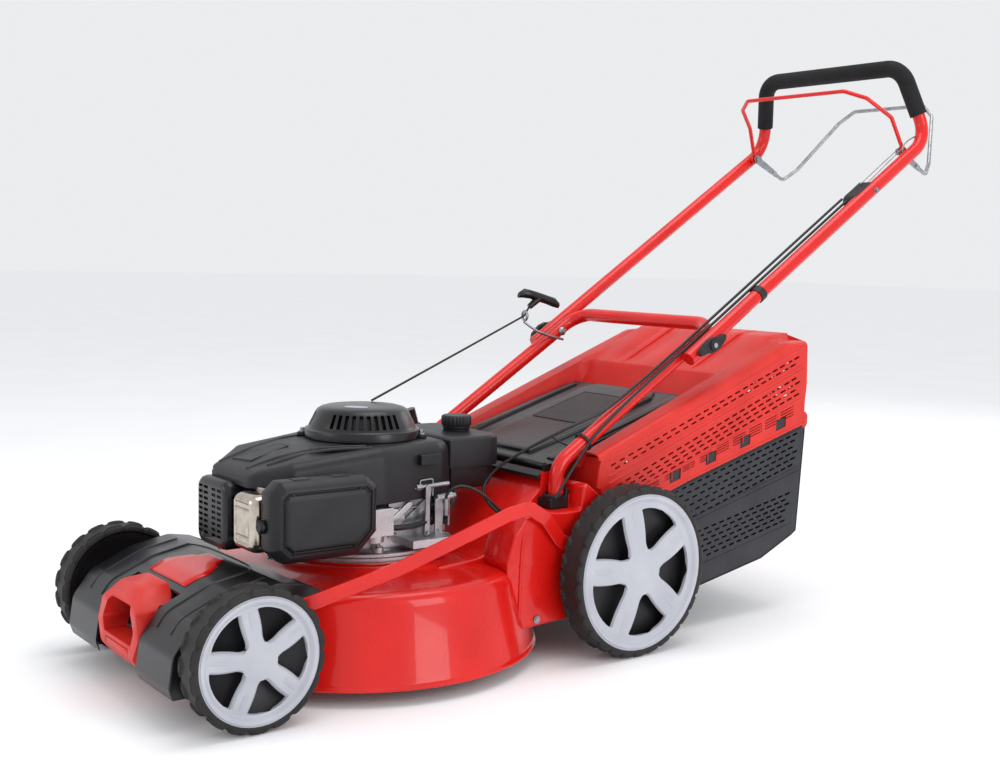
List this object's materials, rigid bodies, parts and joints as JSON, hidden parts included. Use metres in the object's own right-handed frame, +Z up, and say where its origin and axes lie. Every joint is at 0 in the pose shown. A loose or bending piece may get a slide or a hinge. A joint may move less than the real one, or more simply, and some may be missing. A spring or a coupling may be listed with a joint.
{
  "type": "petrol lawn mower",
  "caption": "Walk-behind petrol mower with a steel deck, central height adjustment, rear grass catcher, folding handle and two bail levers.",
  "frame": {"origin": "on the ground, under the middle of the overall length and width", "axes": "-Y is the way the mower travels, +X its left-hand side seen by the user behind it, +Z up"},
  "size_m": [0.578, 1.729, 1.0445],
  "materials": {
    "red_paint": "gloss",
    "red_plastic": "satin",
    "black_plastic": "satin",
    "black_cover": "satin",
    "tyre": "matte",
    "silver_plastic": "satin",
    "foam": "matte",
    "zinc": "satin",
    "steel": "satin",
    "aluminium": "cast",
    "chrome": "polished",
    "black_paint": "satin",
    "cable_sheath": "satin",
    "belt": "matte"
  },
  "bodies": {
    "chassis": {"deck_shell": "red_paint", "rear_support": "black_plastic", "front_cover": "black_cover", "carry_handle": "red_plastic", "axle_bearings": "black_plastic", "height_quadrant": "steel", "chassis_bolts": "zinc", "lower_handle": "red_paint", "handle_brackets": "red_paint", "handle_saddles": "black_plastic", "rope_guide": "zinc", "starter_rope": "cable_sheath", "lower_cables": "cable_sheath", "crankcase": "aluminium", "valve_cover": "chrome", "engine_shroud": "black_plastic", "recoil_housing": "black_plastic", "fuel_tank": "black_plastic", "air_filter_cover": "black_plastic", "carburettor": "aluminium", "muffler": "black_paint", "muffler_guard": "black_paint", "control_bracket": "zinc", "drive_belt": "belt"},
    "rear_axle": {"rear_axle": "zinc", "height_lever": "black_paint"},
    "front_axle": {"front_axle": "zinc"},
    "height_link": {"height_link_bar": "red_paint"},
    "gearbox": {"gearbox": "aluminium"},
    "gearbox_pulley": {"gearbox_pulley": "steel"},
    "cutter": {"crankshaft": "steel", "blade": "black_paint", "blade_bolt": "zinc"},
    "fuel_cap": {"fuel_cap": "black_plastic"},
    "upper_handle": {"upper_handle": "red_paint", "handle_grip": "foam", "cable_block": "black_plastic", "cable_clips": "black_plastic", "bail_fittings": "zinc", "upper_cables": "cable_sheath"},
    "drive_bail": {"drive_bail": "red_paint"},
    "brake_bail": {"brake_bail": "zinc"},
    "wing_nut_left": {"wing_nut_left": "black_plastic"},
    "wing_nut_right": {"wing_nut_right": "black_plastic"},
    "starter_grip": {"starter_grip": "black_plastic"},
    "rear_flap": {"rear_flap": "black_plastic"},
    "grass_catcher": {"bag_upper_shell": "red_plastic", "bag_lower_shell": "black_plastic"},
    "front_left_wheel": {"front_left_tyre": "tyre", "front_left_hub": "black_plastic", "front_left_cap": "silver_plastic"},
    "front_right_wheel": {"front_right_tyre": "tyre", "front_right_hub": "black_plastic", "front_right_cap": "silver_plastic"},
    "rear_left_wheel": {"rear_left_tyre": "tyre", "rear_left_hub": "black_plastic", "rear_left_cap": "silver_plastic"},
    "rear_right_wheel": {"rear_right_tyre": "tyre", "rear_right_hub": "black_plastic", "rear_right_cap": "silver_plastic"}
  },
  "joints": [
    {"name": "rear_height", "type": "hinge", "parent": "chassis", "child": "rear_axle", "pos_m": [0, -0.1375, 0.11467], "axis": [-1, 0, 0], "range_deg": [0, 66], "deforming": ["drive_belt"]},
    {"name": "front_height", "type": "hinge", "parent": "chassis", "child": "front_axle", "pos_m": [0, -0.8035, 0.07467], "axis": [-1, 0, 0], "range_deg": [0, 66]},
    {"name": "link_pivot", "type": "hinge", "parent": "rear_axle", "child": "height_link", "pos_m": [0, -0.1575, 0.14667], "axis": [1, 0, 0], "range_deg": [0, 66]},
    {"name": "gearbox_pivot", "type": "hinge", "parent": "rear_axle", "child": "gearbox", "pos_m": [0, -0.0985, 0.14], "axis": [1, 0, 0], "range_deg": [0, 66]},
    {"name": "pulley_spin", "type": "hinge", "parent": "gearbox", "child": "gearbox_pulley", "pos_m": [0, -0.1145, 0.098], "axis": [0, 0, 1], "continuous": true},
    {"name": "blade_spin", "type": "hinge", "parent": "chassis", "child": "cutter", "pos_m": [0, -0.4545, 0.05], "axis": [0, 0, 1], "continuous": true},
    {"name": "fuel_cap_turn", "type": "hinge", "parent": "chassis", "child": "fuel_cap", "pos_m": [0.01, -0.2765, 0.354], "axis": [0, 0, 1], "continuous": true},
    {"name": "handle_fold", "type": "hinge", "parent": "chassis", "child": "upper_handle", "pos_m": [0, 0.1025, 0.499], "axis": [1, 0, 0], "range_deg": [0, 135], "deforming": ["upper_cables"]},
    {"name": "drive_bail_squeeze", "type": "hinge", "parent": "upper_handle", "child": "drive_bail", "pos_m": [0, 0.6575, 0.864], "axis": [-1, 0, 0], "range_deg": [0, 37], "stiffness_Nm_per_rad": 1.2, "springref_deg": -34.38},
    {"name": "brake_bail_squeeze", "type": "hinge", "parent": "upper_handle", "child": "brake_bail", "pos_m": [0, 0.6575, 0.864], "axis": [1, 0, 0], "range_deg": [0, 45], "stiffness_Nm_per_rad": 1.8, "springref_deg": -45.84},
    {"name": "wing_nut_left_turn", "type": "hinge", "parent": "chassis", "child": "wing_nut_left", "pos_m": [0.19, 0.1025, 0.499], "axis": [1, 0, 0], "continuous": true},
    {"name": "wing_nut_right_turn", "type": "hinge", "parent": "chassis", "child": "wing_nut_right", "pos_m": [-0.19, 0.1025, 0.499], "axis": [1, 0, 0], "continuous": true},
    {"name": "starter_pull", "type": "slide", "parent": "chassis", "child": "starter_grip", "axis": [0.121, 0.6052, 0.7868], "range_m": [0, 0.4], "stiffness_N_per_m": 12, "springref_m": -0.4},
    {"name": "flap_lift", "type": "hinge", "parent": "chassis", "child": "rear_flap", "pos_m": [0, -0.1965, 0.302], "axis": [1, 0, 0], "range_deg": [0, 30]},
    {"name": "catcher_removal", "type": "slide", "parent": "chassis", "child": "grass_catcher", "axis": [0, 1, 0], "range_m": [0, 0.5]},
    {"name": "front_left_wheel_spin", "type": "hinge", "parent": "front_axle", "child": "front_left_wheel", "pos_m": [0.237, -0.7645, 0.1], "axis": [1, 0, 0], "continuous": true},
    {"name": "front_right_wheel_spin", "type": "hinge", "parent": "front_axle", "child": "front_right_wheel", "pos_m": [-0.237, -0.7645, 0.1], "axis": [1, 0, 0], "continuous": true},
    {"name": "rear_left_wheel_spin", "type": "hinge", "parent": "rear_axle", "child": "rear_left_wheel", "pos_m": [0.264, -0.0985, 0.14], "axis": [1, 0, 0], "continuous": true},
    {"name": "rear_right_wheel_spin", "type": "hinge", "parent": "rear_axle", "child": "rear_right_wheel", "pos_m": [-0.264, -0.0985, 0.14], "axis": [1, 0, 0], "continuous": true}
  ],
  "couplings": [
    {"joint": "front_height", "follows": "rear_height", "ratio": 1},
    {"joint": "link_pivot", "follows": "rear_height", "ratio": 1},
    {"joint": "gearbox_pivot", "follows": "rear_height", "ratio": 1},
    {"joint": "pulley_spin", "follows": "blade_spin", "ratio": 1.1111}
  ]
}
